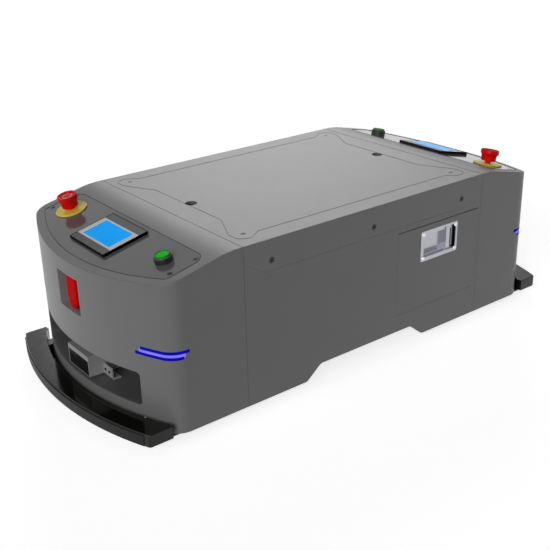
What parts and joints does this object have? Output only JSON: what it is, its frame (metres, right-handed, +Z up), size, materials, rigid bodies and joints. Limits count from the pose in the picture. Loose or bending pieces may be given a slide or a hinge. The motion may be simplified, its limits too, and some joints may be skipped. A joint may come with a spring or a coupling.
{
  "type": "autonomous mobile robot",
  "caption": "Low two-ended autonomous mobile robot with bowed noses, control slopes, bumpers, tow pins, side battery drawer, sprung drive wheels and swivel casters.",
  "frame": {"origin": "on the floor under the machine's centre", "axes": "+Z up, +Y along the length towards the rear end, +X to the right side with the battery drawer"},
  "size_m": [0.48, 1.086, 0.3424],
  "materials": {
    "casing_paint": "dark grey satin powder coat",
    "deck_paint": "dark grey satin powder coat",
    "frame_paint": "black paint",
    "panel_gloss": "glossy grey",
    "black_gloss": "glossy black",
    "black_plastic": "satin black",
    "grey_plastic": "satin grey",
    "screen_glass": "lit blue screen behind gloss",
    "red_plastic": "glossy red",
    "yellow_plastic": "glossy yellow",
    "green_plastic": "glossy green",
    "lamp_plastic": "translucent, lit blue",
    "chrome_plate": "polished",
    "screw_steel": "blackened",
    "bright_steel": "zinc plated",
    "cast_alloy": "as cast",
    "tread": "moulded polyurethane on an alloy core",
    "battery_case": "moulded case"
  },
  "bodies": {
    "chassis": {"chassis_frame": "frame_paint", "deck_cover": "deck_paint", "deck_plate": "deck_paint", "right_side_panel": "casing_paint", "left_side_panel": "casing_paint", "isolator_recess": "casing_paint", "corner_lamps": "lamp_plastic", "casing_screws": "screw_steel", "side_screws": "screw_steel", "bumper_guides": "grey_plastic", "caster_plates": "bright_steel", "guide_posts": "bright_steel", "suspension_springs": "bright_steel", "drawer_runners": "bright_steel", "controller_box": "cast_alloy", "guide_sensors": "black_plastic", "pin_lifts": "cast_alloy", "front_shell": "casing_paint", "front_scanner_bay": "black_plastic", "front_scanner": "grey_plastic", "front_scanner_window": "black_gloss", "front_control_panel": "panel_gloss", "front_display": "black_gloss", "front_display_screen": "screen_glass", "front_stop_ring": "yellow_plastic", "front_start_bezel": "black_plastic", "rear_shell": "casing_paint", "rear_scanner_bay": "black_plastic", "rear_scanner": "grey_plastic", "rear_scanner_window": "black_gloss", "rear_control_panel": "panel_gloss", "rear_display": "black_gloss", "rear_display_screen": "screen_glass", "rear_stop_ring": "yellow_plastic", "rear_start_bezel": "black_plastic"},
    "drawer": {"battery_drawer": "casing_paint", "battery_pack": "battery_case", "drawer_handle": "chrome_plate"},
    "drive_unit": {"drive_cradle": "cast_alloy", "left_gearmotor": "cast_alloy", "right_gearmotor": "cast_alloy"},
    "left_wheel": {"left_drive_wheel": "tread"},
    "right_wheel": {"right_drive_wheel": "tread"},
    "isolator_handle": {"isolator_knob": "red_plastic"},
    "front_stop_button": {"front_stop_head": "red_plastic"},
    "front_start_button": {"front_start_cap": "green_plastic"},
    "front_bumper_bar": {"front_bumper": "black_gloss"},
    "front_pin": {"front_tow_pin": "bright_steel"},
    "rear_stop_button": {"rear_stop_head": "red_plastic"},
    "rear_start_button": {"rear_start_cap": "green_plastic"},
    "rear_bumper_bar": {"rear_bumper": "black_gloss"},
    "rear_pin": {"rear_tow_pin": "bright_steel"},
    "front_left_swivel": {"front_left_caster_fork": "bright_steel"},
    "front_left_roller": {"front_left_caster_wheel": "tread"},
    "front_right_swivel": {"front_right_caster_fork": "bright_steel"},
    "front_right_roller": {"front_right_caster_wheel": "tread"},
    "rear_left_swivel": {"rear_left_caster_fork": "bright_steel"},
    "rear_left_roller": {"rear_left_caster_wheel": "tread"},
    "rear_right_swivel": {"rear_right_caster_fork": "bright_steel"},
    "rear_right_roller": {"rear_right_caster_wheel": "tread"}
  },
  "joints": [
    {"name": "front_stop_press", "type": "slide", "parent": "chassis", "child": "front_stop_button", "axis": [0, 0.225, -0.9744], "range_m": [0, 0.004]},
    {"name": "front_start_press", "type": "slide", "parent": "chassis", "child": "front_start_button", "axis": [0, 0.225, -0.9744], "range_m": [0, 0.0025], "stiffness_N_per_m": 600, "springref_m": -0.001},
    {"name": "front_bumper_press", "type": "slide", "parent": "chassis", "child": "front_bumper_bar", "axis": [0, 1, 0], "range_m": [0, 0.008], "stiffness_N_per_m": 2500, "springref_m": -0.004},
    {"name": "front_pin_lift", "type": "slide", "parent": "chassis", "child": "front_pin", "axis": [0, 0, 1], "range_m": [0, 0.055]},
    {"name": "rear_stop_press", "type": "slide", "parent": "chassis", "child": "rear_stop_button", "axis": [0, -0.225, -0.9744], "range_m": [0, 0.004]},
    {"name": "rear_start_press", "type": "slide", "parent": "chassis", "child": "rear_start_button", "axis": [0, -0.225, -0.9744], "range_m": [0, 0.0025], "stiffness_N_per_m": 600, "springref_m": -0.001},
    {"name": "rear_bumper_press", "type": "slide", "parent": "chassis", "child": "rear_bumper_bar", "axis": [0, -1, 0], "range_m": [0, 0.008], "stiffness_N_per_m": 2500, "springref_m": -0.004},
    {"name": "rear_pin_lift", "type": "slide", "parent": "chassis", "child": "rear_pin", "axis": [0, 0, 1], "range_m": [0, 0.055]},
    {"name": "isolator_turn", "type": "hinge", "parent": "chassis", "child": "isolator_handle", "pos_m": [0, -0.46, 0.218], "axis": [0, 1, 0], "range_deg": [0, 90]},
    {"name": "front_left_swivel_turn", "type": "hinge", "parent": "chassis", "child": "front_left_swivel", "pos_m": [-0.15, -0.33, 0.06], "axis": [0, 0, 1], "continuous": true},
    {"name": "front_left_roller_spin", "type": "hinge", "parent": "front_left_swivel", "child": "front_left_roller", "pos_m": [-0.15, -0.352, 0.025], "axis": [1, 0, 0], "continuous": true},
    {"name": "front_right_swivel_turn", "type": "hinge", "parent": "chassis", "child": "front_right_swivel", "pos_m": [0.15, -0.33, 0.06], "axis": [0, 0, 1], "continuous": true},
    {"name": "front_right_roller_spin", "type": "hinge", "parent": "front_right_swivel", "child": "front_right_roller", "pos_m": [0.15, -0.352, 0.025], "axis": [1, 0, 0], "continuous": true},
    {"name": "rear_left_swivel_turn", "type": "hinge", "parent": "chassis", "child": "rear_left_swivel", "pos_m": [-0.15, 0.33, 0.06], "axis": [0, 0, 1], "continuous": true},
    {"name": "rear_left_roller_spin", "type": "hinge", "parent": "rear_left_swivel", "child": "rear_left_roller", "pos_m": [-0.15, 0.308, 0.025], "axis": [1, 0, 0], "continuous": true},
    {"name": "rear_right_swivel_turn", "type": "hinge", "parent": "chassis", "child": "rear_right_swivel", "pos_m": [0.15, 0.33, 0.06], "axis": [0, 0, 1], "continuous": true},
    {"name": "rear_right_roller_spin", "type": "hinge", "parent": "rear_right_swivel", "child": "rear_right_roller", "pos_m": [0.15, 0.308, 0.025], "axis": [1, 0, 0], "continuous": true},
    {"name": "suspension", "type": "slide", "parent": "chassis", "child": "drive_unit", "axis": [0, 0, 1], "range_m": [-0.006, 0.006], "stiffness_N_per_m": 15000, "springref_m": -0.01, "deforming": ["suspension_springs"]},
    {"name": "right_wheel_spin", "type": "hinge", "parent": "drive_unit", "child": "right_wheel", "pos_m": [0.12, 0, 0.075], "axis": [1, 0, 0], "continuous": true},
    {"name": "left_wheel_spin", "type": "hinge", "parent": "drive_unit", "child": "left_wheel", "pos_m": [-0.12, 0, 0.075], "axis": [1, 0, 0], "continuous": true},
    {"name": "drawer_slide", "type": "slide", "parent": "chassis", "child": "drawer", "axis": [1, 0, 0], "range_m": [0, 0.18]}
  ]
}
